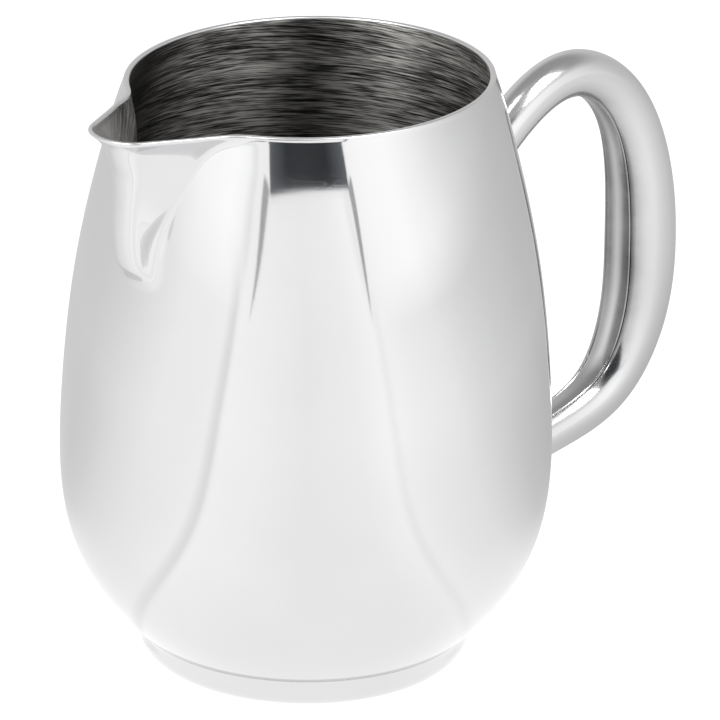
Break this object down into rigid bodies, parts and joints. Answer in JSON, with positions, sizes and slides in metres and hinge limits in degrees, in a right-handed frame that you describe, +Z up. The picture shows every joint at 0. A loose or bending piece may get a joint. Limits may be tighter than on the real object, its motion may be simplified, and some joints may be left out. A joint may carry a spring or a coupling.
{
  "type": "cream jug",
  "caption": "Polished steel cream jug: round belly on a low rounded foot, wide mouth with a pressed pouring spout, and a hollow loop handle opposite it.",
  "frame": {"origin": "on the turned axis of the body, at the level of the table that the foot ring stands on", "axes": "+Z up; +X from the axis towards the handle, so the spout points along -X; the jug mirrors across the XZ plane"},
  "size_m": [0.1197, 0.0748, 0.0934],
  "materials": {
    "polished_steel": "mirror-polished stainless steel; the inside of the body is coarsely brushed round its axis",
    "satin_steel": "satin stainless steel",
    "weld_metal": "ground and polished weld metal"
  },
  "bodies": {
    "root": {"body_shell": "polished_steel", "foot_ring": "polished_steel", "base_panel": "satin_steel", "foot_braze_ring": "weld_metal", "handle_outer_shell": "polished_steel", "handle_inner_strip": "polished_steel", "upper_handle_weld": "weld_metal", "lower_handle_weld": "weld_metal"}
  },
  "joints": []
}
